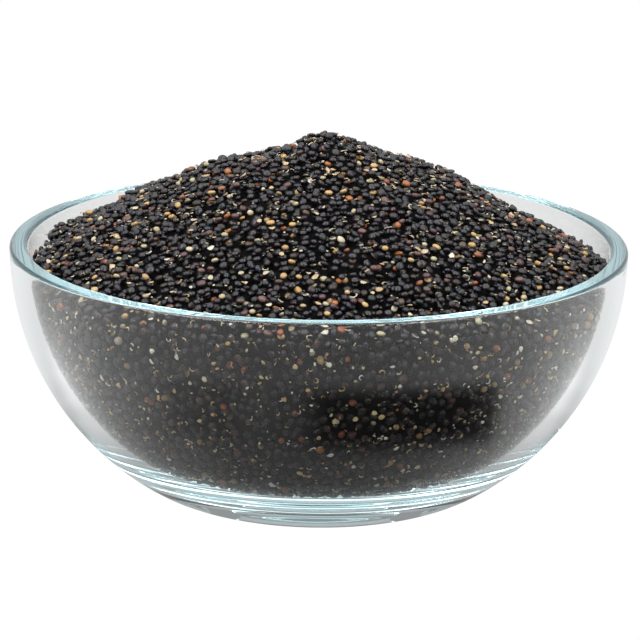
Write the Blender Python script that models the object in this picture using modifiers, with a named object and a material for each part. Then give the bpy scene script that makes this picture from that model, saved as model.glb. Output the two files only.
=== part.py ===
"""Clear glass bowl heaped with dry black quinoa.

Metres, +Z up. The origin is the centre of the foot, on the surface that the bowl stands on,
and -Y is the side that the photograph shows.
"""
import math
import random

import bmesh
import bpy
from mathutils import Euler, Vector, noise
from mathutils.bvhtree import BVHTree

# Glass bowl
RIM_RADIUS = 0.060
BOWL_HEIGHT = 0.0493
CURVE_DEPTH = 0.0564
CURVE_POWER = 2.065
SHOULDER_SHARPNESS = 38
WALL = 0.0034
BASE = 0.0086
FLOOR_SHARPNESS = 24
LIP_ROUND = 0.0007
FOOT_OUTER_RADIUS = 0.0145
FOOT_INNER_RADIUS = 0.0112
FOOT_RECESS = 0.0009
TURN_STEPS = 60
OUTER_POINTS = 9
INNER_POINTS = 8
LIP_POINTS = 2
GLASS_COLOUR = (0.80, 0.90, 0.90, 1)

# Heap of quinoa
GAP = 0.0003
PEAK_X = 0.0012
PEAK_ABOVE_RIM = 0.0189
EDGE_BELOW_RIM = 0.0047
HEAP_RADIUS = 0.0566
SLOPE_POWER = 1.37
KNOB_HEIGHT = 0.0019
KNOB_RADIUS = 0.0066
EDGE_DIP = 0.0022
DIP_POWER = 30
LUMP_SPACING = 0.012
LUMP_HEIGHT = 0.0009
# Broad swellings and hollows: x, y, rise and radius of each
SWELLINGS = [
    (-0.053, 0.017, 0.0024, 0.008),
    (-0.036, 0.022, 0.0014, 0.007),
    (-0.022, 0.013, 0.0017, 0.008),
    (-0.011, 0.008, -0.0014, 0.007),
    (0.044, 0.024, -0.0024, 0.018),
]
BUMP_SPACING = 0.0020
BUMP_HEIGHT = 0.00035
BUMP_JITTER = 0.3
QUINOA_COLOUR = (0.012, 0.011, 0.013, 1)

# Loose seeds on the heap
SEED_DIAMETER = 0.0018
SEED_THICKNESS = 0.0011
SEED_COUNT = 64
SEED_FIELD_RADIUS = 0.052
SEED_TILT = 0.5
SEED_RISE = 0.0002
SEED_SIDES = 8
SEED_RINGS = 3
GOLDEN_ANGLE = math.pi * (3 - math.sqrt(5))
RANDOM_SEED = 7


def clear_scene():
    for obj in list(bpy.data.objects):
        bpy.data.objects.remove(obj, do_unlink=True)


def make_collection(name):
    collection = bpy.data.collections.new(name)
    bpy.context.scene.collection.children.link(collection)
    return collection


def make_material(name, colour, roughness, transmission=0.0):
    material = bpy.data.materials.new(name)
    material.use_nodes = True
    shader = material.node_tree.nodes["Principled BSDF"]
    shader.inputs["Base Color"].default_value = colour
    shader.inputs["Roughness"].default_value = roughness
    shader.inputs["Metallic"].default_value = 0.0
    shader.inputs["Transmission Weight"].default_value = transmission
    return material


def soft_min(value, limit, sharpness):
    """The smaller of two lengths, with a soft bend where they meet."""
    return (value ** -sharpness + limit ** -sharpness) ** (-1 / sharpness)


def curve_point(turn):
    """Radius and depth below the rim of the bowl's side, before the foot is cut flat.

    The curve is a quarter of an ellipse that is a little squarer than a true one.
    """
    bend = 2 / CURVE_POWER
    return Vector((RIM_RADIUS * math.cos(turn) ** bend, CURVE_DEPTH * math.sin(turn) ** bend))


def turn_at_depth(depth):
    return math.asin((depth / CURVE_DEPTH) ** (CURVE_POWER / 2))


def turn_at_radius(radius):
    return math.acos((radius / RIM_RADIUS) ** (CURVE_POWER / 2))


def outer_wall(lip_depth):
    """Points (radius, height) down the outer side, from under the lip to the foot ring."""
    first = turn_at_depth(lip_depth)
    last = turn_at_radius(FOOT_OUTER_RADIUS)
    foot_drop = soft_min(curve_point(last).y, BOWL_HEIGHT, SHOULDER_SHARPNESS)
    points = []
    for index in range(OUTER_POINTS + 1):
        radius, depth = curve_point(first + (last - first) * index / OUTER_POINTS)
        depth = soft_min(depth, BOWL_HEIGHT, SHOULDER_SHARPNESS)
        points.append((radius, BOWL_HEIGHT * (1 - depth / foot_drop)))
    return points


def inner_wall(lip_depth, inset):
    """Points (radius, height) down the inner side, inset from it by a gap, and the floor's centre."""
    first = turn_at_depth(lip_depth)
    last = turn_at_radius(FOOT_OUTER_RADIUS)
    floor_depth = BOWL_HEIGHT - BASE - inset
    points = []
    for index in range(INNER_POINTS + 1):
        turn = first + (last - first) * index / INNER_POINTS
        tangent = (curve_point(turn + 0.001) - curve_point(turn - 0.001)).normalized()
        inward = Vector((-tangent.y, tangent.x))
        radius, depth = curve_point(turn) + inward * (WALL + inset)
        points.append((radius, BOWL_HEIGHT - soft_min(depth, floor_depth, FLOOR_SHARPNESS)))
    points.append((0.0, BOWL_HEIGHT - floor_depth))
    return points


def lip_arc(centre_radius, start, end):
    """The rounded edge of the rim, as points strictly between two angles and at its far end."""
    points = []
    for index in range(1, LIP_POINTS + 1):
        angle = start + (end - start) * index / LIP_POINTS
        radius = centre_radius + LIP_ROUND * math.cos(angle)
        height = BOWL_HEIGHT - LIP_ROUND + LIP_ROUND * math.sin(angle)
        points.append((radius, height))
    return points


def bowl_profile():
    """Half section of the bowl: floor centre, up the inside, over the lip, down to the foot."""
    inside = inner_wall(LIP_ROUND, 0.0)
    inside.reverse()
    quarter = math.pi / 2
    inner_lip = lip_arc(RIM_RADIUS - WALL + LIP_ROUND, math.pi, quarter)
    outer_lip = lip_arc(RIM_RADIUS - LIP_ROUND, quarter, 0)
    lip_top = (RIM_RADIUS - LIP_ROUND, BOWL_HEIGHT)
    foot = [
        (FOOT_INNER_RADIUS, 0.0),
        (FOOT_INNER_RADIUS - FOOT_RECESS, FOOT_RECESS),
        (0.0, FOOT_RECESS),
    ]
    return inside + inner_lip + [lip_top] + outer_lip[:-1] + outer_wall(LIP_ROUND) + foot


def make_turned(name, profile, collection):
    """A solid turned about the Z axis from a half section that runs down its outer side."""
    mesh = bpy.data.meshes.new(name)
    points = [(radius, 0.0, height) for radius, height in profile]
    edges = [(index, index + 1) for index in range(len(points) - 1)]
    mesh.from_pydata(points, edges, [])
    obj = bpy.data.objects.new(name, mesh)
    collection.objects.link(obj)
    screw = obj.modifiers.new("turn", "SCREW")
    screw.axis = "Z"
    screw.angle = 2 * math.pi
    screw.steps = TURN_STEPS
    screw.render_steps = TURN_STEPS
    screw.use_merge_vertices = True
    screw.merge_threshold = 1e-5
    return obj


def applied_mesh(obj, name):
    """The object's mesh as its modifiers leave it."""
    depsgraph = bpy.context.evaluated_depsgraph_get()
    mesh = bpy.data.meshes.new_from_object(obj.evaluated_get(depsgraph))
    mesh.name = name
    return mesh


def make_bowl(collection):
    bowl = make_turned("glass_bowl", bowl_profile(), collection)
    bowl.data = applied_mesh(bowl, "glass_bowl")
    bowl.modifiers.clear()
    bowl.data.shade_smooth()
    bowl.data.set_sharp_from_angle(angle=math.radians(35))
    bowl.data.materials.clear()
    bowl.data.materials.append(make_material("clear_glass", GLASS_COLOUR, 0.02, transmission=1.0))
    return bowl


def heap_height(x, y):
    """Height of the heap's skin: a soft cone with a knob on top, a dip at the glass and lumps."""
    reach = math.hypot(x - PEAK_X, y) / HEAP_RADIUS
    fall = (PEAK_ABOVE_RIM + EDGE_BELOW_RIM) * reach ** SLOPE_POWER
    fall += EDGE_DIP * min(math.hypot(x, y) / HEAP_RADIUS, 1) ** DIP_POWER
    rise = KNOB_HEIGHT * math.exp(-((reach * HEAP_RADIUS / KNOB_RADIUS) ** 2))
    rise += LUMP_HEIGHT * noise.noise(Vector((x / LUMP_SPACING, y / LUMP_SPACING, 0.5)))
    for centre_x, centre_y, height, radius in SWELLINGS:
        rise += height * math.exp(-((x - centre_x) ** 2 + (y - centre_y) ** 2) / radius ** 2)
    return BOWL_HEIGHT + PEAK_ABOVE_RIM - fall + rise


def make_bumpy_block(name, rng):
    """A block that reaches below the bowl's floor, topped with seed-sized bumps."""
    half = RIM_RADIUS
    cells = 2 * round(half / BUMP_SPACING)
    step = 2 * half / cells
    bm = bmesh.new()
    bmesh.ops.create_grid(bm, x_segments=cells, y_segments=cells, size=half)
    top = list(bm.verts)
    extruded = bmesh.ops.extrude_face_region(bm, geom=bm.faces[:])
    bottom = [item for item in extruded["geom"] if isinstance(item, bmesh.types.BMVert)]
    for vert in bottom:
        vert.co.z = -BASE
    for vert in top:
        crest = round((vert.co.x + half) / step) + round((vert.co.y + half) / step)
        bump = BUMP_HEIGHT if crest % 2 else -BUMP_HEIGHT
        x = vert.co.x + step * rng.uniform(-BUMP_JITTER, BUMP_JITTER)
        y = vert.co.y + step * rng.uniform(-BUMP_JITTER, BUMP_JITTER)
        vert.co = (x, y, heap_height(x, y) + bump * rng.uniform(0.2, 1.8))
    bmesh.ops.triangulate(bm, faces=bm.faces[:])
    bmesh.ops.recalc_face_normals(bm, faces=bm.faces[:])
    mesh = bpy.data.meshes.new(name)
    bm.to_mesh(mesh)
    bm.free()
    return mesh


def basin_profile():
    """Half section of the space inside the bowl, a gap clear of the glass and open upward."""
    wall = inner_wall(LIP_ROUND, GAP)
    top_height = BOWL_HEIGHT + 2 * PEAK_ABOVE_RIM
    return [(0.0, top_height), (wall[0][0], top_height)] + wall


def make_seed(name, location, rotation):
    """One lens-shaped seed, as a mesh object that is placed and turned."""
    bm = bmesh.new()
    bmesh.ops.create_uvsphere(bm, u_segments=SEED_SIDES, v_segments=SEED_RINGS, radius=0.5)
    bmesh.ops.scale(bm, vec=(SEED_DIAMETER, SEED_DIAMETER, SEED_THICKNESS), verts=bm.verts[:])
    mesh = bpy.data.meshes.new(name)
    bm.to_mesh(mesh)
    bm.free()
    seed = bpy.data.objects.new(name, mesh)
    seed.location = location
    seed.rotation_euler = rotation
    return seed


def make_seeds(heap, collection, rng):
    """Single seeds lying half sunk on the heap's bumps, along a golden-angle spiral."""
    depsgraph = bpy.context.evaluated_depsgraph_get()
    skin = BVHTree.FromObject(heap, depsgraph)
    sky = BOWL_HEIGHT + 2 * PEAK_ABOVE_RIM
    seeds = []
    for index in range(SEED_COUNT):
        radius = SEED_FIELD_RADIUS * math.sqrt((index + 0.5) / SEED_COUNT)
        angle = GOLDEN_ANGLE * index
        start = Vector((radius * math.cos(angle), radius * math.sin(angle), sky))
        place, normal, _face, _distance = skin.ray_cast(start, Vector((0, 0, -1)))
        tilt = Euler((rng.uniform(-SEED_TILT, SEED_TILT), rng.uniform(-SEED_TILT, SEED_TILT), 0))
        turn = normal.to_track_quat("Z", "Y") @ tilt.to_quaternion()
        seed = make_seed(f"seed_{index}", place + normal * SEED_RISE, turn.to_euler())
        collection.objects.link(seed)
        seeds.append(seed)
    return seeds


def add_boolean(obj, name, operation):
    modifier = obj.modifiers.new(name, "BOOLEAN")
    modifier.operation = operation
    modifier.solver = "EXACT"
    return modifier


def make_heap(collection, cutters):
    rng = random.Random(RANDOM_SEED)
    heap = bpy.data.objects.new("quinoa_heap", make_bumpy_block("quinoa_heap", rng))
    collection.objects.link(heap)

    basin = make_turned("basin", basin_profile(), cutters)
    basin.hide_render = True
    basin.display_type = "WIRE"
    add_boolean(heap, "fill the bowl", "INTERSECT").object = basin
    heap.data = applied_mesh(heap, "quinoa_heap")
    heap.modifiers.clear()

    loose = make_collection("loose seeds")
    seeds = make_seeds(heap, loose, rng)
    union = add_boolean(heap, "seeds", "UNION")
    union.operand_type = "COLLECTION"
    union.collection = loose
    heap.data = applied_mesh(heap, "quinoa_heap")
    heap.modifiers.clear()
    for seed in seeds:
        bpy.data.objects.remove(seed, do_unlink=True)
    bpy.data.collections.remove(loose)

    heap.data.materials.clear()
    heap.data.materials.append(make_material("black_quinoa", QUINOA_COLOUR, 0.45))
    return heap


def main():
    clear_scene()
    parts = make_collection("dish of quinoa")
    cutters = make_collection("cutters")
    make_bowl(parts)
    make_heap(parts, cutters)


main()
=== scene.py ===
# %% [markdown]
# # Dish of quinoa
# A clear pressed-glass bowl, 120 mm across, is heaped with dry black quinoa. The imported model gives
# two solids, the bowl and the heap, and every piece below is fitted to them. We load that model
# first, because it says where everything is, and keep its box so that we can compare sizes later.

# %% Load the fixed model
import math
import random

import bmesh
import bpy
import numpy as np
from mathutils import Matrix, Vector, noise


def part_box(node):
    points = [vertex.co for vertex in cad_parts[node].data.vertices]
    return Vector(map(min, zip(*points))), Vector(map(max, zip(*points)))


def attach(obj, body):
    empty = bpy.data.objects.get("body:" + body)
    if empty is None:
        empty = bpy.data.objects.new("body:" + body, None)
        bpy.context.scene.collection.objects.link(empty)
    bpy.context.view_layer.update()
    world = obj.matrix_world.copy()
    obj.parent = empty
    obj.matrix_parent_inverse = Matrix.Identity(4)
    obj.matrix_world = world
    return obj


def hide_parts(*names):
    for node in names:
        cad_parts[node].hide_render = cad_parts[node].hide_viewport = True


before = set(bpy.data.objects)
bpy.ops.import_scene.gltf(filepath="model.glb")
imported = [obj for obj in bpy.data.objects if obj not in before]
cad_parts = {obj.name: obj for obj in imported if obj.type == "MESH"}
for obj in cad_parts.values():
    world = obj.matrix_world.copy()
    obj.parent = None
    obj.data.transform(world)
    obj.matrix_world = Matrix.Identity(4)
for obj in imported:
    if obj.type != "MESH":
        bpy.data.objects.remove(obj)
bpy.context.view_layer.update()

bowl_low, bowl_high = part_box("glass_bowl")
heap_low, heap_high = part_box("quinoa_heap")
print("bowl", bowl_low, bowl_high)
print("heap", heap_low, heap_high)

# %% [markdown]
# ## Camera
# The rim shows as an ellipse four times as wide as it is high, so the camera looks down by 14
# degrees, and the far rim is nearly as wide as the near one, so it stands well back with a long
# lens. A camera looks along its own -Z, so we build its axes from where it stands and where it
# aims, and then roll it by the small angle at which the rim leans in the picture.

# %% Place the camera
RIM_HEIGHT = 0.0493
CAMERA_DISTANCE = 0.600
CAMERA_ELEVATION = math.radians(14.2)
CAMERA_ROLL = math.radians(0.76)
CAMERA_AIM = Vector((0.0004, 0, 0.0332))
LENS_MM = 173.3
SENSOR_MM = 36


def make_camera():
    data = bpy.data.cameras.new("camera")
    data.lens = LENS_MM
    data.sensor_width = SENSOR_MM
    camera = bpy.data.objects.new("camera", data)
    bpy.context.scene.collection.objects.link(camera)
    stand = Vector((0, -math.cos(CAMERA_ELEVATION), math.sin(CAMERA_ELEVATION))) * CAMERA_DISTANCE
    stand.z += RIM_HEIGHT
    back = (stand - CAMERA_AIM).normalized()
    right = Vector((0, 0, 1)).cross(back).normalized()
    up = back.cross(right)
    axes = Matrix((right, up, back)).transposed() @ Matrix.Rotation(CAMERA_ROLL, 3, "Z")
    camera.matrix_world = Matrix.Translation(stand) @ axes.to_4x4()
    bpy.context.scene.camera = camera
    return camera


camera = make_camera()
print("camera at", camera.location)

# %% [markdown]
# ## Materials by hand
# Every finish is a Principled shader with a few nodes in front of it. These short helpers make
# the shader, add a node and join two sockets, so that each finish below reads as one recipe.

# %% Helpers for shader nodes
def new_material(name):
    material = bpy.data.materials.new(name)
    material.use_nodes = True
    shader = material.node_tree.nodes["Principled BSDF"]
    return material, material.node_tree, shader


def add_node(tree, kind, **settings):
    node = tree.nodes.new(kind)
    for key, value in settings.items():
        setattr(node, key, value)
    return node


def join(tree, source, output, target, entry):
    tree.links.new(source.outputs[output], target.inputs[entry])


def object_pattern(tree, scale):
    """Object coordinates multiplied by a scale, so that a pattern has a real size."""
    place = add_node(tree, "ShaderNodeTexCoord")
    mapping = add_node(tree, "ShaderNodeMapping")
    mapping.inputs["Scale"].default_value = (scale, scale, scale)
    join(tree, place, "Object", mapping, "Vector")
    return mapping


# %% [markdown]
# ## The glass bowl
# A pressed bowl is a surface of revolution: one half section, spun once round the axis. The
# section is worked out from the same curve as the solid bowl, a quarter of a slightly squared
# ellipse cut flat for the foot, and the inner wall is that curve moved inward by the thickness
# of the glass. We only use many more points, because light bends at every facet of clear glass.

# %% Half section of the bowl
RIM_RADIUS = 0.060
CURVE_DEPTH = 0.0564
CURVE_POWER = 2.065
SHOULDER_SHARPNESS = 38
WALL = 0.0034
BASE = 0.0086
FLOOR_SHARPNESS = 24
TURN_STEP = 0.001
LIP_ROUND = 0.0007
FOOT_OUTER_RADIUS = 0.0145
FOOT_INNER_RADIUS = 0.0112
FOOT_RECESS = 0.0009
WALL_POINTS = 48
LIP_POINTS = 8


def soft_min(value, limit, sharpness):
    """The smaller of two lengths, with a soft bend where they meet."""
    return (value ** -sharpness + limit ** -sharpness) ** (-1 / sharpness)


def curve_point(turn):
    """Radius and depth below the rim of the bowl's side, before the foot is cut flat."""
    bend = 2 / CURVE_POWER
    return Vector((RIM_RADIUS * math.cos(turn) ** bend, CURVE_DEPTH * math.sin(turn) ** bend))


def curve_turns(count):
    """Even steps along the curve, from just under the lip to the foot ring."""
    first = math.asin((LIP_ROUND / CURVE_DEPTH) ** (CURVE_POWER / 2))
    last = math.acos((FOOT_OUTER_RADIUS / RIM_RADIUS) ** (CURVE_POWER / 2))
    return [first + (last - first) * index / count for index in range(count + 1)]


def outer_wall(count):
    turns = curve_turns(count)
    foot_drop = soft_min(curve_point(turns[-1]).y, RIM_HEIGHT, SHOULDER_SHARPNESS)
    points = []
    for turn in turns:
        radius, depth = curve_point(turn)
        depth = soft_min(depth, RIM_HEIGHT, SHOULDER_SHARPNESS)
        points.append((radius, RIM_HEIGHT * (1 - depth / foot_drop)))
    return points


def inner_wall(count, inset=0.0):
    """The inner side, from the lip to the floor's centre, moved inward by an inset."""
    floor_depth = RIM_HEIGHT - BASE - inset
    points = []
    for turn in curve_turns(count):
        tangent = (curve_point(turn + TURN_STEP) - curve_point(turn - TURN_STEP)).normalized()
        inward = Vector((-tangent.y, tangent.x))
        radius, depth = curve_point(turn) + inward * (WALL + inset)
        points.append((radius, RIM_HEIGHT - soft_min(depth, floor_depth, FLOOR_SHARPNESS)))
    points.append((0.0, RIM_HEIGHT - floor_depth))
    return points


def arc(centre, radius, start, end, count):
    """Points on an arc in the half section, both ends left out."""
    points = []
    for index in range(1, count):
        angle = math.radians(start + (end - start) * index / count)
        points.append((centre[0] + radius * math.cos(angle), centre[1] + radius * math.sin(angle)))
    return points


def bowl_section():
    lip_height = RIM_HEIGHT - LIP_ROUND
    inner_lip = arc((RIM_RADIUS - WALL + LIP_ROUND, lip_height), LIP_ROUND, 180, 90, LIP_POINTS)
    outer_lip = arc((RIM_RADIUS - LIP_ROUND, lip_height), LIP_ROUND, 90, 0, LIP_POINTS)
    flat = [(RIM_RADIUS - WALL + LIP_ROUND, RIM_HEIGHT), (RIM_RADIUS - LIP_ROUND, RIM_HEIGHT)]
    recess = arc((FOOT_INNER_RADIUS, FOOT_RECESS), FOOT_RECESS, 270, 180, LIP_POINTS)
    foot = [(FOOT_INNER_RADIUS, 0.0)] + recess
    foot += [(FOOT_INNER_RADIUS - FOOT_RECESS, FOOT_RECESS), (0.0, FOOT_RECESS)]
    inside = inner_wall(WALL_POINTS)[::-1]
    return inside + inner_lip + flat + outer_lip + outer_wall(WALL_POINTS) + foot


section = bowl_section()
print("half section of", len(section), "points")

# %% [markdown]
# The section is spun once round the axis in many steps and shaded smooth. Only the corner in the
# recess under the foot is sharp enough to keep an edge. The glass itself is clear, with a faint
# tint that light takes up on its way through, so that it shows where the way is long: in the rim
# and in the thick base.

# %% Spin the section into a bowl
BOWL_STEPS = 224
EDGE_DEGREES = 60
MERGE_DISTANCE = 0.000001
GLASS_SURFACE = (0.98, 0.99, 0.99, 1)
GLASS_IOR = 1.51
GLASS_TINT = (0.72, 0.92, 0.95, 1)
TINT_DENSITY = 10


def finish_mesh(name, bm, material, smooth_angle=180):
    """Turns a bmesh into an object at the origin, smooth up to an angle."""
    mesh = bpy.data.meshes.new(name)
    bm.to_mesh(mesh)
    bm.free()
    mesh.materials.append(material)
    mesh.shade_smooth()
    if smooth_angle < 180:
        mesh.set_sharp_from_angle(angle=math.radians(smooth_angle))
    obj = bpy.data.objects.new(name, mesh)
    bpy.context.scene.collection.objects.link(obj)
    return obj


def spin_section(points, steps):
    """Spins a half section in the XZ plane once round Z and closes it at the axis."""
    bm = bmesh.new()
    verts = [bm.verts.new((radius, 0, height)) for radius, height in points]
    edges = [bm.edges.new(pair) for pair in zip(verts, verts[1:])]
    bmesh.ops.spin(
        bm, geom=verts + edges, cent=(0, 0, 0), axis=(0, 0, 1),
        angle=2 * math.pi, steps=steps, use_merge=True,
    )
    bmesh.ops.remove_doubles(bm, verts=bm.verts[:], dist=MERGE_DISTANCE)
    bmesh.ops.recalc_face_normals(bm, faces=bm.faces[:])
    return bm


def glass_finish():
    material, tree, shader = new_material("clear_glass")
    shader.inputs["Base Color"].default_value = GLASS_SURFACE
    shader.inputs["Roughness"].default_value = 0.0
    shader.inputs["IOR"].default_value = GLASS_IOR
    shader.inputs["Transmission Weight"].default_value = 1.0
    tint = add_node(tree, "ShaderNodeVolumeAbsorption")
    tint.inputs["Color"].default_value = GLASS_TINT
    tint.inputs["Density"].default_value = TINT_DENSITY
    join(tree, tint, "Volume", tree.nodes["Material Output"], "Volume")
    return material


spun_bowl = spin_section(section, BOWL_STEPS)
bowl = finish_mesh("bowl", spun_bowl, glass_finish(), smooth_angle=EDGE_DEGREES)
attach(bowl, "root")
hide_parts("glass_bowl")
print("bowl of", len(bowl.data.polygons), "faces")

# %% [markdown]
# ## The skin of the heap
# Poured seed settles into a soft cone. Its skin falls faster toward the edge, has a small knob
# where the last seeds landed, and broad uneven lumps. The height is a formula, the same one as
# the solid heap's, so that the seeds lie where the solid is.

# %% Height and slope of the heap
PEAK_X = 0.0012
PEAK_ABOVE_RIM = 0.0189
EDGE_BELOW_RIM = 0.0047
HEAP_RADIUS = 0.0566
SLOPE_POWER = 1.37
KNOB_HEIGHT = 0.0019
KNOB_RADIUS = 0.0066
EDGE_DIP = 0.0022
DIP_POWER = 30
LUMP_SPACING = 0.012
LUMP_HEIGHT = 0.0009
LUMP_SLICE = 0.5
SLOPE_STEP = 0.0005
# Broad swellings and hollows: x, y, rise and radius of each
SWELLINGS = [
    (-0.053, 0.017, 0.0024, 0.008),
    (-0.036, 0.022, 0.0014, 0.007),
    (-0.022, 0.013, 0.0017, 0.008),
    (-0.011, 0.008, -0.0014, 0.007),
    (0.044, 0.024, -0.0024, 0.018),
]


def heap_height(x, y):
    reach = math.hypot(x - PEAK_X, y) / HEAP_RADIUS
    fall = (PEAK_ABOVE_RIM + EDGE_BELOW_RIM) * reach ** SLOPE_POWER
    fall += EDGE_DIP * min(math.hypot(x, y) / HEAP_RADIUS, 1) ** DIP_POWER
    rise = KNOB_HEIGHT * math.exp(-((reach * HEAP_RADIUS / KNOB_RADIUS) ** 2))
    rise += LUMP_HEIGHT * noise.noise(Vector((x / LUMP_SPACING, y / LUMP_SPACING, LUMP_SLICE)))
    for centre_x, centre_y, height, radius in SWELLINGS:
        rise += height * math.exp(-((x - centre_x) ** 2 + (y - centre_y) ** 2) / radius ** 2)
    return RIM_HEIGHT + PEAK_ABOVE_RIM - fall + rise


def heap_normal(x, y):
    rise_x = heap_height(x + SLOPE_STEP, y) - heap_height(x - SLOPE_STEP, y)
    rise_y = heap_height(x, y + SLOPE_STEP) - heap_height(x, y - SLOPE_STEP)
    return Vector((-rise_x / (2 * SLOPE_STEP), -rise_y / (2 * SLOPE_STEP), 1)).normalized()


print("heap rises to", heap_height(PEAK_X, 0), "and the solid to", heap_high[2])

# %% [markdown]
# ## The dark core
# Only the outer two layers of seeds can be seen. What lies under them is one bumpy core, painted
# near black as the shade deep in the gaps between the seeds: it closes every gap, so that no light
# comes through the pile. It is spun from a section that follows the inner wall and the cone, a
# little inside both.

# %% Core under the seeds
CORE_INSET = 0.0020
CORE_STEPS = 128
CORE_WALL_POINTS = 30
CORE_RINGS = 40
CORE_RELIEF = 0.0003
RELIEF_SPACING = 0.0012
SHADOW_GRAIN = 600
core_wall = inner_wall(CORE_WALL_POINTS, CORE_INSET)
EDGE_HEIGHT = RIM_HEIGHT - EDGE_BELOW_RIM


def painted_shade_core_finish():
    material, tree, shader = new_material("heap_shadow")
    shader.inputs["Roughness"].default_value = 0.8
    shader.inputs["Specular IOR Level"].default_value = 0.1
    pattern = object_pattern(tree, SHADOW_GRAIN)
    grain = add_node(tree, "ShaderNodeTexNoise")
    ramp = add_node(tree, "ShaderNodeValToRGB")
    # Painted shade: the core is nearer black than any seed coat, so the gaps between seeds look deep
    ramp.color_ramp.elements[0].color = (0.001, 0.001, 0.001, 1)
    ramp.color_ramp.elements[1].color = (0.006, 0.005, 0.005, 1)
    join(tree, pattern, "Vector", grain, "Vector")
    join(tree, grain, "Fac", ramp, "Fac")
    join(tree, ramp, "Color", shader, "Base Color")
    return material


def make_core():
    sunk = [point for point in core_wall if point[1] < EDGE_HEIGHT - CORE_INSET]
    edge_radius = sunk[0][0]
    cone = [(edge_radius * index / CORE_RINGS, EDGE_HEIGHT) for index in range(CORE_RINGS + 1)]
    bm = spin_section(cone + sunk, CORE_STEPS)
    for vert in bm.verts:
        x, y, z = vert.co
        if z > EDGE_HEIGHT - CORE_INSET:
            vert.co.z = heap_height(x, y) - CORE_INSET
        bump = CORE_RELIEF * noise.noise(vert.co / RELIEF_SPACING)
        vert.co += bump * Vector((x, y, z - EDGE_HEIGHT / 2)).normalized()
    return finish_mesh("core", bm, painted_shade_core_finish())


core = make_core()
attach(core, "root")
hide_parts("quinoa_heap")
print("core of", len(core.data.polygons), "faces")

# %% [markdown]
# ## Settling the seeds
# A real heap is thousands of lens-shaped seeds that fell, slid and stopped. A full simulation
# would work, but it is slow, so we use a rule that gives the same look: each new seed tries a
# few places and tilts and stays in the one where it sinks lowest. How low it can sink follows
# from the seeds already there: two lenses touch when the distance between them, measured on an
# ellipsoid twice their size, is one. Against the glass the same rule works from the wall inward.

# %% The rule for one seed
SEED_WIDTH = 0.00174
SEED_THICKNESS = 0.00096
# Wider than the widest seed, so that a seed and one that it touches are in cells side by side
CELL = 0.0021
LEAN_BIAS = 1.5
WIDTH_SPREAD = 0.07
NARROWEST, WIDEST = 0.82, 1.16
THINNEST, THICKEST = 0.85, 1.15
MOST_MISSES = 400


class Pile:
    """The seeds settled so far, in arrays, with a grid of cells to find neighbours quickly."""

    def __init__(self, room):
        self.count = 0
        self.centre = np.zeros((room, 3))
        self.axis = np.zeros((room, 3))
        self.width = np.zeros(room)
        self.thickness = np.zeros(room)
        self.cells = {}

    def cell(self, point):
        return tuple(int(math.floor(value / CELL)) for value in point)

    def near(self, point):
        i, j, k = self.cell(point)
        found = []
        for a in (i - 1, i, i + 1):
            for b in (j - 1, j, j + 1):
                for c in (k - 1, k, k + 1):
                    found += self.cells.get((a, b, c), [])
        return found

    def add(self, centre, axis, width, thickness):
        index = self.count
        self.centre[index] = centre
        self.axis[index] = axis
        self.width[index] = width
        self.thickness[index] = thickness
        self.cells.setdefault(self.cell(centre), []).append(index)
        self.count += 1
        return index

    def resting_height(self, foot, up, axis, width, thickness):
        """How far above its foot, along up, a lens with this axis comes to rest."""
        lean = float(np.dot(axis, up)) ** 2
        height = math.sqrt((width / 2) ** 2 * (1 - lean) + (thickness / 2) ** 2 * lean)
        near = self.near(foot + up * height)
        if not near:
            return height
        near = np.array(near)
        across = (self.width[near] + width) / 2
        along = (self.thickness[near] + thickness) / 2
        axes = self.axis[near]
        side = np.where(axes @ axis < 0, -1, 1)
        axes = axes * side[:, None] + axis
        axes /= np.linalg.norm(axes, axis=1)[:, None]
        offset = foot - self.centre[near]
        part = np.einsum("ij,ij->i", axes, offset)
        rise = axes @ up
        run = offset @ up
        square = np.einsum("ij,ij->i", offset, offset)
        # The height at which the lens touches each neighbour is the larger root of a quadratic
        a = (1 - rise ** 2) / across ** 2 + rise ** 2 / along ** 2
        b = 2 * ((run - part * rise) / across ** 2 + part * rise / along ** 2)
        c = (square - part ** 2) / across ** 2 + part ** 2 / along ** 2 - 1
        root = b ** 2 - 4 * a * c
        touching = root > 0
        if touching.any():
            top = (-b[touching] + np.sqrt(root[touching])) / (2 * a[touching])
            height = max(height, float(top.max()))
        return height


def tilted(up, most, rng):
    """A direction that leans from up by a random angle, often little and seldom the most."""
    side = up.orthogonal().normalized()
    side.rotate(Matrix.Rotation(rng.uniform(0, 2 * math.pi), 3, up))
    angle = most * rng.random() ** LEAN_BIAS
    return (up * math.cos(angle) + side * math.sin(angle)).normalized()


def settle(pile, count, pick_spot, rng, tries, most_tilt, highest, size=(1.0, 1.0), level=0.0):
    """Adds seeds one by one, each in the lowest of a few places, and returns their numbers.

    The size multiplies the usual width and thickness. A seed whose centre would lie more than
    the highest above its foot is left out. A level above zero turns the flat side of a seed from
    the slope toward the sky.
    """
    added = []
    misses = 0
    while len(added) < count and misses < MOST_MISSES:
        grow = rng.gauss(1.0, WIDTH_SPREAD)
        width = SEED_WIDTH * size[0] * min(max(grow, NARROWEST), WIDEST)
        thickness = SEED_THICKNESS * size[1] * rng.uniform(THINNEST, THICKEST)
        best = None
        for _ in range(tries):
            foot, up = pick_spot(rng)
            axis = tilted((up + Vector((0, 0, level))).normalized(), most_tilt, rng)
            foot_array = np.array(foot)
            up_array = np.array(up)
            axis_array = np.array(axis)
            height = pile.resting_height(foot_array, up_array, axis_array, width, thickness)
            if best is None or height < best[0]:
                best = (height, foot_array + up_array * height, axis_array)
        if best[0] > highest:
            misses += 1
            continue
        added.append(pile.add(best[1], best[2], width, thickness))
    return added


print("seed", SEED_WIDTH * 1000, "mm wide and", SEED_THICKNESS * 1000, "mm thick")

# %% [markdown]
# Two kinds of place can take a seed: the skin of the heap, where up is away from the heap, and
# the inner wall, where up is away from the glass. Both pick a spot so that every square
# millimetre is as likely as any other.

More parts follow.
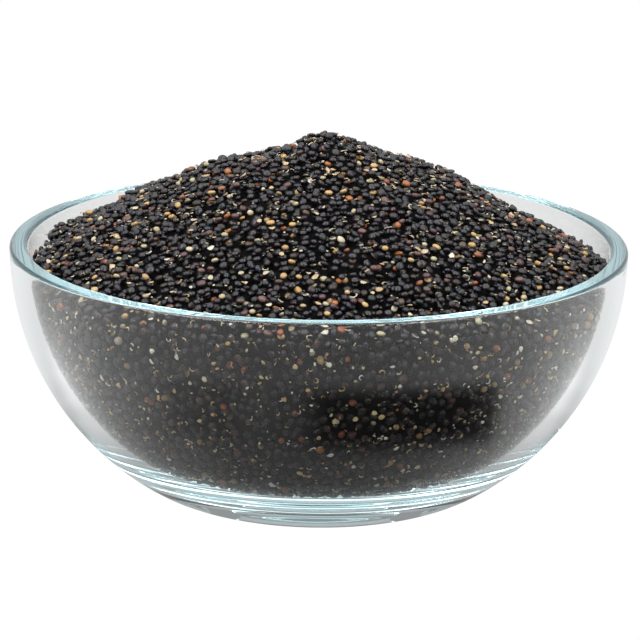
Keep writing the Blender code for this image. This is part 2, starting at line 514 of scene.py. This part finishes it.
# %% Places on the heap and on the wall
SKIN_DEPTH = 0.0013
WALL_CLEARANCE = 0.000005
FINE_WALL_POINTS = 200
EDGE_OVERLAP = 0.0004
fine_wall = inner_wall(FINE_WALL_POINTS, WALL_CLEARANCE)
wall_edge = next(i for i, point in enumerate(fine_wall) if point[1] < EDGE_HEIGHT + EDGE_OVERLAP)
wall_run = fine_wall[wall_edge:]
heap_reach = wall_run[0][0] - SEED_WIDTH / 2


def skin_spot(rng):
    radius = heap_reach * math.sqrt(rng.random())
    angle = rng.uniform(0, 2 * math.pi)
    x = radius * math.cos(angle)
    y = radius * math.sin(angle)
    up = heap_normal(x, y)
    return Vector((x, y, heap_height(x, y))) - up * SKIN_DEPTH, up


def wall_areas(run):
    """The share of the area down to each point, for fair draws, and the whole area."""
    areas = []
    for (radius_a, height_a), (radius_b, height_b) in zip(run, run[1:]):
        length = math.hypot(radius_b - radius_a, height_b - height_a)
        areas.append((radius_a + radius_b) / 2 * length)
    total = sum(areas)
    return np.cumsum(areas) / total, total * 2 * math.pi


wall_share, wall_area = wall_areas(wall_run)


def wall_spot(rng):
    index = int(np.searchsorted(wall_share, rng.random()))
    (radius_a, height_a), (radius_b, height_b) = wall_run[index:index + 2]
    mix = rng.random()
    radius = radius_a + (radius_b - radius_a) * mix
    height = height_a + (height_b - height_a) * mix
    angle = rng.uniform(0, 2 * math.pi)
    out = Vector((math.cos(angle), math.sin(angle), 0))
    up = (out * (height_b - height_a) + Vector((0, 0, radius_a - radius_b))).normalized()
    return out * radius + Vector((0, 0, height)), up


print("inner wall under the heap:", round(wall_area * 1e6), "square millimetres")

# %% [markdown]
# We settle the bits of chaff against the glass first, then the seeds that lean on the glass, and
# last the seeds and the chaff of the skin, so that each takes the room that the ones before leave.

# %% Settle them all
WALL_CHAFF = 3500
WALL_SEEDS = 6000
SKIN_SEEDS = 5600
SKIN_CHAFF = 1100
SKIN_LEVEL = 1.2
RANDOM_SEED = 11
rng = random.Random(RANDOM_SEED)
pile = Pile(WALL_CHAFF + WALL_SEEDS + SKIN_SEEDS + SKIN_CHAFF)
wall_chaff = settle(
    pile, WALL_CHAFF, wall_spot, rng, tries=1, most_tilt=0.12, highest=0.0010, size=(0.5, 0.3),
)
wall_seeds = settle(pile, WALL_SEEDS, wall_spot, rng, tries=6, most_tilt=1.3, highest=0.0017)
skin_seeds = settle(
    pile, SKIN_SEEDS, skin_spot, rng, tries=6, most_tilt=0.8, highest=0.0023, level=SKIN_LEVEL,
)
skin_chaff = settle(
    pile, SKIN_CHAFF, skin_spot, rng, tries=2, most_tilt=0.6, highest=0.0025, size=(0.6, 0.3),
    level=SKIN_LEVEL,
)
print("settled", len(wall_chaff), len(wall_seeds), len(skin_seeds), len(skin_chaff))

# %% [markdown]
# ## One seed
# A quinoa seed is a thick lens about 1.7 mm across: two softly domed faces and a blunt rim. We
# start from a coarse sphere, flatten it, and square its section a little. It has a few dozen
# faces, because thousands of copies follow.

# %% Model one seed
BLUNTNESS = 0.25
DOME_CUT = 0.12
NEAR_POLE = 0.001


def mesh_arrays(bm):
    """The points and the triangles of a bmesh as two arrays."""
    bm.verts.index_update()
    verts = np.array([vert.co[:] for vert in bm.verts])
    faces = np.array([[vert.index for vert in face.verts] for face in bm.faces])
    bm.free()
    return verts, faces


def lens_master(segments, rings):
    """A lens of width 1 and thickness 1 along Z, to be scaled for each seed."""
    bm = bmesh.new()
    bmesh.ops.create_uvsphere(bm, u_segments=segments, v_segments=rings, radius=0.5)
    bmesh.ops.triangulate(bm, faces=bm.faces[:])
    for vert in bm.verts:
        flat = Vector((vert.co.x, vert.co.y, 0))
        reach = flat.length / 0.5
        if reach > NEAR_POLE:
            vert.co += flat * (reach ** -BLUNTNESS - 1)
        vert.co.z *= 1 - DOME_CUT * (1 - reach ** 2)
    return mesh_arrays(bm)


fine_lens = lens_master(segments=10, rings=5)
plain_lens = lens_master(segments=8, rings=4)
print("seed of", len(fine_lens[1]), "faces on top and", len(plain_lens[1]), "at the glass")

# %% [markdown]
# Thousands of separate objects would be slow and heavy, so all seeds of one kind become one mesh.
# Each copy is placed, turned and sized on its own, and a wave dents it a little, because no two
# real seeds are alike. Numpy does this for a whole seed at once.

# %% Join many copies into one piece
DENT_PITCH = 6.0


def lens_frame(axis, spin):
    """Axes of a seed whose own Z is the given axis, turned about it by a spin."""
    z = Vector(axis)
    x = z.orthogonal().normalized()
    x.rotate(Matrix.Rotation(spin, 3, z))
    return np.array((x, z.cross(x), z))


def joined_copies(name, master, members, material, rng, oval=0.2, dent=0.05, scale=(1.0, 1.0)):
    """One mesh of many copies of a master, each placed, turned and sized, with its own tone.

    A wave of random direction runs through each copy and dents it, so that no two are alike.
    Nothing grows thicker by it, so a copy that only touches the glass stays out of it.
    """
    verts, faces = master
    places = []
    tones = []
    for index in members:
        frame_axes = lens_frame(pile.axis[index], rng.uniform(0, 2 * math.pi))
        grow = rng.uniform(*scale)
        width = pile.width[index] * grow
        size = (width, width * (1 - rng.uniform(0, oval)), pile.thickness[index] * min(grow, 1))
        wave = np.array([rng.gauss(0, DENT_PITCH) for _ in range(3)])
        dents = 1 - dent * (1 + np.sin(verts @ wave + rng.uniform(0, 2 * math.pi)))
        places.append((verts * dents[:, None] * size) @ frame_axes + pile.centre[index])
        tones.append(rng.random())
    points = np.concatenate(places)
    steps = np.arange(len(members)) * len(verts)
    corners = (faces[None, :, :] + steps[:, None, None]).reshape(-1)
    mesh = bpy.data.meshes.new(name)
    mesh.vertices.add(len(points))
    mesh.vertices.foreach_set("co", points.reshape(-1))
    mesh.loops.add(len(corners))
    mesh.loops.foreach_set("vertex_index", corners)
    mesh.polygons.add(len(corners) // 3)
    mesh.polygons.foreach_set("loop_start", np.arange(0, len(corners), 3))
    mesh.update()
    tone = mesh.attributes.new("tone", "FLOAT", "POINT")
    tone.data.foreach_set("value", np.repeat(tones, len(verts)))
    mesh.shade_smooth()
    mesh.materials.append(material)
    obj = bpy.data.objects.new(name, mesh)
    bpy.context.scene.collection.objects.link(obj)
    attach(obj, "root")
    print(name, len(members), "copies,", len(corners) // 3, "triangles")


# %% [markdown]
# ## Seed finishes
# The coats aren't one black: they lean to blue, plum or brown, with a dull sheen and fine
# wrinkles. Each seed carries a tone, a number stored in its mesh, and a colour ramp turns that
# into its own shade.

# %% Seed colours
COAT_GRAIN = 2500
WRINKLE_DEPTH = 0.00005
# A mix node has sockets for numbers and vectors too: these are the ones for colours
MIX_FIRST, MIX_SECOND, MIX_RESULT = 6, 7, 2


def seed_finish(name, colours, roughness, wrinkle=0.12, specular=0.5, blotches=0.5):
    """A coat whose shade follows the seed's tone, darkened in blotches and finely wrinkled."""
    material, tree, shader = new_material(name)
    shader.inputs["Roughness"].default_value = roughness
    shader.inputs["Specular IOR Level"].default_value = specular
    tone = add_node(tree, "ShaderNodeAttribute", attribute_name="tone")
    ramp = add_node(tree, "ShaderNodeValToRGB")
    elements = ramp.color_ramp.elements
    while len(elements) < len(colours):
        elements.new(0.5)
    for index, colour in enumerate(colours):
        elements[index].position = index / (len(colours) - 1)
        elements[index].color = (*colour, 1)
    join(tree, tone, "Fac", ramp, "Fac")
    pattern = object_pattern(tree, COAT_GRAIN)
    grain = add_node(tree, "ShaderNodeTexNoise")
    join(tree, pattern, "Vector", grain, "Vector")
    blotch = add_node(tree, "ShaderNodeMix", data_type="RGBA", blend_type="MULTIPLY")
    blotch.inputs["Factor"].default_value = blotches
    join(tree, ramp, "Color", blotch, MIX_FIRST)
    join(tree, grain, "Color", blotch, MIX_SECOND)
    join(tree, blotch, MIX_RESULT, shader, "Base Color")
    bump = add_node(tree, "ShaderNodeBump")
    bump.inputs["Strength"].default_value = wrinkle
    bump.inputs["Distance"].default_value = WRINKLE_DEPTH
    join(tree, grain, "Fac", bump, "Height")
    join(tree, bump, "Normal", shader, "Normal")
    return material


BLACKS = [
    (0.003, 0.003, 0.005), (0.012, 0.006, 0.013), (0.003, 0.009, 0.008), (0.017, 0.009, 0.013),
    (0.015, 0.009, 0.004), (0.006, 0.008, 0.016), (0.020, 0.017, 0.020),
]
WARM_BLACKS = [
    (0.004, 0.004, 0.005), (0.026, 0.014, 0.012), (0.008, 0.012, 0.010), (0.030, 0.018, 0.010),
    (0.012, 0.010, 0.016), (0.036, 0.020, 0.018),
]
PLUMS = [
    (0.055, 0.018, 0.028), (0.090, 0.040, 0.035), (0.060, 0.032, 0.018), (0.130, 0.060, 0.050),
]
REDS = [(0.32, 0.08, 0.015), (0.40, 0.13, 0.022), (0.18, 0.04, 0.020), (0.28, 0.10, 0.04)]
OCHRES = [(0.46, 0.27, 0.09), (0.56, 0.38, 0.17), (0.50, 0.31, 0.10), (0.40, 0.24, 0.11)]
CREAMS = [(0.50, 0.42, 0.25), (0.57, 0.50, 0.36), (0.42, 0.34, 0.18), (0.40, 0.39, 0.24)]
glossy_black = seed_finish(
    "glossy_black_coat", BLACKS, roughness=0.24, wrinkle=0.3, specular=0.42,
)
dull_black = seed_finish(
    "dull_black_coat", BLACKS, roughness=0.42, wrinkle=0.25, specular=0.42,
)
warm_black = seed_finish("warm_black_coat", WARM_BLACKS, roughness=0.4, specular=0.42)
plum_coat = seed_finish("plum_coat", PLUMS, roughness=0.42)
red_coat = seed_finish("red_coat", REDS, roughness=0.42)
ochre_coat = seed_finish("ochre_coat", OCHRES, roughness=0.45)
cream_coat = seed_finish("cream_coat", CREAMS, roughness=0.5)
print("coats with", len(BLACKS), "cool and", len(WARM_BLACKS), "warm shades of black")

# %% [markdown]
# Most seeds are black, glossy or dull by chance, and about one in six is plum, red, ochre or
# cream. The red and the pale ones are a little smaller. Behind the glass more plum and fewer pale
# ones show, and the blacks look warmer, so the shares and the coats differ there.

# %% Sort the seeds by kind and make the pieces
TOP_SHARES = [("plum", 0.060), ("red", 0.024), ("ochre", 0.030), ("cream", 0.040)]
GLASS_SHARES = [("plum", 0.12), ("red", 0.020), ("ochre", 0.018), ("cream", 0.006)]
GLOSSY_SHARE = 0.5
KIND_SCALES = {"ochre": (0.72, 1.0), "cream": (0.55, 0.95), "red": (0.8, 1.0)}
COATS_ON_TOP = {
    "glossy": glossy_black, "dull": dull_black, "plum": plum_coat,
    "red": red_coat, "ochre": ochre_coat, "cream": cream_coat,
}
COATS_AT_GLASS = {**COATS_ON_TOP, "glossy": warm_black, "dull": warm_black}


def sort_kinds(members, shares, rng):
    kinds = {"glossy": [], "dull": [], "plum": [], "red": [], "ochre": [], "cream": []}
    for index in members:
        draw = rng.random()
        kind = "glossy" if rng.random() < GLOSSY_SHARE else "dull"
        for name, share in shares:
            if draw < share:
                kind = name
                break
            draw -= share
        kinds[kind].append(index)
    return kinds


def make_seeds(place, seeds, shares, coats, master):
    for kind, members in sort_kinds(seeds, shares, rng).items():
        scale = KIND_SCALES.get(kind, (1.0, 1.0))
        joined_copies(f"{kind}_seeds_{place}", master, members, coats[kind], rng, scale=scale)


make_seeds("on_top", skin_seeds, TOP_SHARES, COATS_ON_TOP, fine_lens)
make_seeds("at_glass", wall_seeds, GLASS_SHARES, COATS_AT_GLASS, plain_lens)

# %% [markdown]
# ## Chaff
# Among the seeds lie curled germs, thin flakes of husk and crumbs, white to tan. A curl is a
# short arc of tapering tube, a flake is a small disc bent like a crisp, and a crumb is a chip
# with a few flat sides. All are joined copies, as the seeds are.

# %% Model the bits of chaff
CURL_TUBE = 0.10
CURL_BEND = 0.38
CURL_TIP = 0.25


def curl_master(sections, sides, sweep):
    """An arc of tube in the XY plane, about one wide, thinner toward both ends."""
    bm = bmesh.new()
    circle = bmesh.ops.create_circle(bm, segments=sides, radius=CURL_TUBE)["verts"]
    upright = Matrix.Rotation(math.pi / 2, 3, "X")
    bmesh.ops.rotate(bm, verts=circle, cent=(0, 0, 0), matrix=upright)
    bmesh.ops.translate(bm, verts=circle, vec=(CURL_BEND, 0, 0))
    edges = list({edge for vert in circle for edge in vert.link_edges})
    bmesh.ops.spin(
        bm, geom=circle + edges, cent=(0, 0, 0), axis=(0, 0, 1), angle=sweep, steps=sections,
    )
    for vert in bm.verts:
        turn = math.atan2(vert.co.y, vert.co.x) % (2 * math.pi)
        middle = CURL_BEND * Vector((math.cos(turn), math.sin(turn), 0))
        swell = math.sqrt(math.sin(math.pi * min(turn / sweep, 1)))
        taper = CURL_TIP + (1 - CURL_TIP) * swell
        vert.co = middle + (vert.co - middle) * taper
    bmesh.ops.holes_fill(bm, edges=[edge for edge in bm.edges if edge.is_boundary])
    bmesh.ops.recalc_face_normals(bm, faces=bm.faces[:])
    bmesh.ops.triangulate(bm, faces=bm.faces[:])
    verts, faces = mesh_arrays(bm)
    verts[:, 2] /= 2 * CURL_TUBE
    return verts, faces


def chip_master(sides, rings, bend):
    """A thin disc or chip, one wide, with a bend across it."""
    bm = bmesh.new()
    bmesh.ops.create_uvsphere(bm, u_segments=sides, v_segments=rings, radius=0.5)
    bmesh.ops.triangulate(bm, faces=bm.faces[:])
    for vert in bm.verts:
        vert.co.z = vert.co.z * (1 - abs(bend)) + bend * (2 * vert.co.x) ** 2
    return mesh_arrays(bm)


# %% [markdown]
# Husk is white, straw or tan. Each kind of chaff comes in many sizes, and the four kinds share the
# settled places evenly, taking every fourth one in turn.

# %% Chaff colours and pieces
PALE_HUSKS = [(0.46, 0.38, 0.21), (0.60, 0.56, 0.45), (0.42, 0.27, 0.12), (0.52, 0.43, 0.25)]
TAN_HUSKS = [
    (0.64, 0.42, 0.13), (0.76, 0.64, 0.34), (0.56, 0.28, 0.08), (0.88, 0.84, 0.60),
    (0.94, 0.92, 0.88),
]
pale_husk = seed_finish("pale_husk", PALE_HUSKS, roughness=0.45)
tan_husk = seed_finish("tan_husk", TAN_HUSKS, roughness=0.45, blotches=0.1)
CHAFF_OVAL = 0.5
CHAFF_DENT = 0.15
# Name, one bit of it, and the range of its size
CHAFF_KINDS = [
    ("curls", curl_master(sections=7, sides=4, sweep=math.radians(230)), (0.9, 1.8)),
    ("arcs", curl_master(sections=4, sides=4, sweep=math.radians(100)), (1.0, 2.1)),
    ("flakes", chip_master(sides=7, rings=4, bend=0.6), (0.5, 1.8)),
    ("crumbs", chip_master(sides=5, rings=3, bend=0.1), (0.3, 1.0)),
]


def make_chaff(place, chaff, husk):
    for number, (kind, master, scale) in enumerate(CHAFF_KINDS):
        joined_copies(
            f"{kind}_{place}", master, chaff[number::len(CHAFF_KINDS)], husk, rng,
            oval=CHAFF_OVAL, dent=CHAFF_DENT, scale=scale,
        )


make_chaff("on_top", skin_chaff, pale_husk)
make_chaff("at_glass", wall_chaff, tan_husk)

# %% [markdown]
# ## Floor and light
# Clear glass shows little of itself: what we see in it is the studio. So the studio has to be
# right. The lens sees a plain white floor and room. Everything else, such as a ray that left the
# glass, sees the same floor glowing with painted light and shade: painted bright beside the bowl,
# where the side lights stand, painted duller in front, a painted shadow close to the foot, and a
# painted dark patch in front, which gives the glass the soft dark streak that product pictures have.

# %% Helpers for the shades of the floor
LENS_WHITE = 1.02
# A ramp holds shades up to one, so brightness is divided by this for it and multiplied after it
BRIGHTEST = 2.0


def camera_white(tree, output, strength):
    """Joins two glows: plain white for what the lens sees, and a shaded one for all other rays."""
    path = add_node(tree, "ShaderNodeLightPath")
    white = add_node(tree, output)
    white.inputs["Strength"].default_value = LENS_WHITE
    shaded = add_node(tree, output)
    tree.links.new(strength, shaded.inputs["Strength"])
    for glow in (white, shaded):
        glow.inputs["Color"].default_value = (1, 1, 1, 1)
    mix = add_node(tree, "ShaderNodeMixShader")
    join(tree, path, "Is Camera Ray", mix, "Fac")
    tree.links.new(shaded.outputs[0], mix.inputs[1])
    tree.links.new(white.outputs[0], mix.inputs[2])
    return mix


def maths(tree, operation, first, second=0.0):
    node = add_node(tree, "ShaderNodeMath", operation=operation)
    for entry, value in zip(node.inputs, (first, second)):
        if isinstance(value, (int, float)):
            entry.default_value = value
        else:
            tree.links.new(value, entry)
    return node.outputs[0]


def graded(tree, value, stops):
    """Reads a value through a ramp: stops are (value, brightness) pairs from low to high."""
    low = stops[0][0]
    high = stops[-1][0]
    span = add_node(tree, "ShaderNodeMapRange")
    span.inputs["From Min"].default_value = low
    span.inputs["From Max"].default_value = high
    tree.links.new(value, span.inputs["Value"])
    ramp = add_node(tree, "ShaderNodeValToRGB")
    ramp.color_ramp.interpolation = "EASE"
    elements = ramp.color_ramp.elements
    while len(elements) < len(stops):
        elements.new(0.5)
    for element, (place, bright) in zip(elements, stops):
        element.position = (place - low) / (high - low)
        level = bright / BRIGHTEST
        element.color = (level, level, level, 1)
    join(tree, span, "Result", ramp, "Fac")
    return maths(tree, "MULTIPLY", ramp.outputs["Color"], BRIGHTEST)


# %% [markdown]
# The floor's painted brightness is three parts multiplied: one by direction, from the back to the
# front, one by the distance from the bowl's axis, which paints the shadow near the foot, and one
# that takes the painted dark patch out. The dark patch is part of a ring round the foot, so it has a
# ramp across the ring and one along it.

# %% Floor
FLOOR_HALF = 3
# Painted light in the floor's glow, by direction: brighter at the sides, duller in front
BACK_TO_FRONT = [
    (-1, 0.88), (-0.80, 0.86), (-0.35, 0.74), (-0.05, 1.1), (0.15, 1.1), (0.45, 0.88),
    (0.7, 0.74), (1, 0.52),
]
# Painted shadow: the floor's glow grows darker toward the foot
PAINTED_FOOT_SHADOW = [(0.045, 0.42), (0.060, 0.60), (0.070, 0.78), (0.085, 0.95), (0.100, 1.0)]
# Painted dark patch in the floor's glow in front, seen only in the glass: across the ring and along
# it in degrees
PAINTED_DARK_ACROSS = [(0.053, 0.0), (0.066, 0.93), (0.089, 0.93), (0.105, 0.0)]
PAINTED_DARK_ROUND = [
    (-142, 0.0), (-130, 0.36), (-118, 0.44), (-106, 0.2), (-98, 0.36), (-86, 0.95),
    (-50, 1.0), (-38, 0.95), (-29, 0.0),
]
PAINTED_DARK_LEAN = 0.04


def make_floor():
    bm = bmesh.new()
    bmesh.ops.create_grid(bm, x_segments=1, y_segments=1, size=FLOOR_HALF)
    material, tree, _ = new_material("pale_floor")
    place = add_node(tree, "ShaderNodeTexCoord")
    split = add_node(tree, "ShaderNodeSeparateXYZ")
    join(tree, place, "Object", split, "Vector")
    x, y = split.outputs["X"], split.outputs["Y"]
    square = maths(tree, "ADD", maths(tree, "MULTIPLY", x, x), maths(tree, "MULTIPLY", y, y))
    reach = maths(tree, "SQRT", square)
    forward = maths(tree, "DIVIDE", maths(tree, "MULTIPLY", y, -1), reach)
    turn = maths(tree, "DEGREES", maths(tree, "ARCTAN2", y, x))
    painted_light_by_direction = graded(tree, forward, BACK_TO_FRONT)
    # The painted shadow close to the foot
    near = graded(tree, reach, PAINTED_FOOT_SHADOW)
    leaning = maths(tree, "ADD", reach, maths(tree, "MULTIPLY", x, PAINTED_DARK_LEAN))
    across = graded(tree, leaning, PAINTED_DARK_ACROSS)
    along = graded(tree, turn, PAINTED_DARK_ROUND)
    outside_painted_dark = maths(tree, "SUBTRACT", 1.0, maths(tree, "MULTIPLY", across, along))
    strength = maths(tree, "MULTIPLY", maths(tree, "MULTIPLY", painted_light_by_direction, near), outside_painted_dark)
    mix = camera_white(tree, "ShaderNodeEmission", strength)
    join(tree, mix, 0, tree.nodes["Material Output"], "Surface")
    floor = finish_mesh("floor", bm, material)


make_floor()
print("floor", 2 * FLOOR_HALF, "metres wide with", len(BACK_TO_FRONT), "steps from back to front")

# %% [markdown]
# The room is brightest at eye level, where the white walls stand. One large softbox hangs over the
# heap and two smaller ones stand at the sides in front. They shape the seeds' highlights and the
# bright line in the rim, and the lens doesn't see them.

# %% Room and lights
HORIZON_TO_CEILING = [(0.0, 0.78), (0.28, 0.72), (0.5, 0.36), (1, 0.28)]
SOFTBOX_AIM = Vector((0, 0, 0.04))
# Name, place, width in metres and power in watts of each
SOFTBOXES = [
    ("left_softbox", (-0.45, -0.30, 0.62), 0.55, 5.2),
    ("right_softbox", (0.45, -0.30, 0.62), 0.55, 5.2),
    ("top_softbox", (-0.05, 0.15, 0.75), 1.05, 7.2),
]


def make_world():
    world = bpy.data.worlds.new("bright_room")
    world.use_nodes = True
    tree = world.node_tree
    place = add_node(tree, "ShaderNodeTexCoord")
    split = add_node(tree, "ShaderNodeSeparateXYZ")
    join(tree, place, "Object", split, "Vector")
    strength = graded(tree, split.outputs["Z"], HORIZON_TO_CEILING)
    mix = camera_white(tree, "ShaderNodeBackground", strength)
    join(tree, mix, 0, tree.nodes["World Output"], "Surface")
    bpy.context.scene.world = world


def make_softbox(name, place, size, power):
    data = bpy.data.lights.new(name, "AREA")
    data.shape = "SQUARE"
    data.size = size
    data.energy = power
    light = bpy.data.objects.new(name, data)
    bpy.context.scene.collection.objects.link(light)
    light.location = place
    light.rotation_euler = (SOFTBOX_AIM - light.location).to_track_quat("-Z", "Y").to_euler()
    light.visible_camera = False


make_world()
for softbox in SOFTBOXES:
    make_softbox(*softbox)
print("stage with", len(SOFTBOXES), "softboxes")
bpy.context.scene.view_settings.view_transform = "Standard"

# %% [markdown]
# Light in the rim and in the foot turns back many times inside the glass before it leaves. Each
# turn counts as a bounce, so we allow more of them than usual, or those parts would stay black.

# %% Let the light travel in the glass
GLASS_BOUNCES = 64
light_paths = bpy.context.scene.cycles
light_paths.max_bounces = GLASS_BOUNCES
light_paths.glossy_bounces = GLASS_BOUNCES
light_paths.transmission_bounces = GLASS_BOUNCES
print("light may turn", GLASS_BOUNCES, "times")
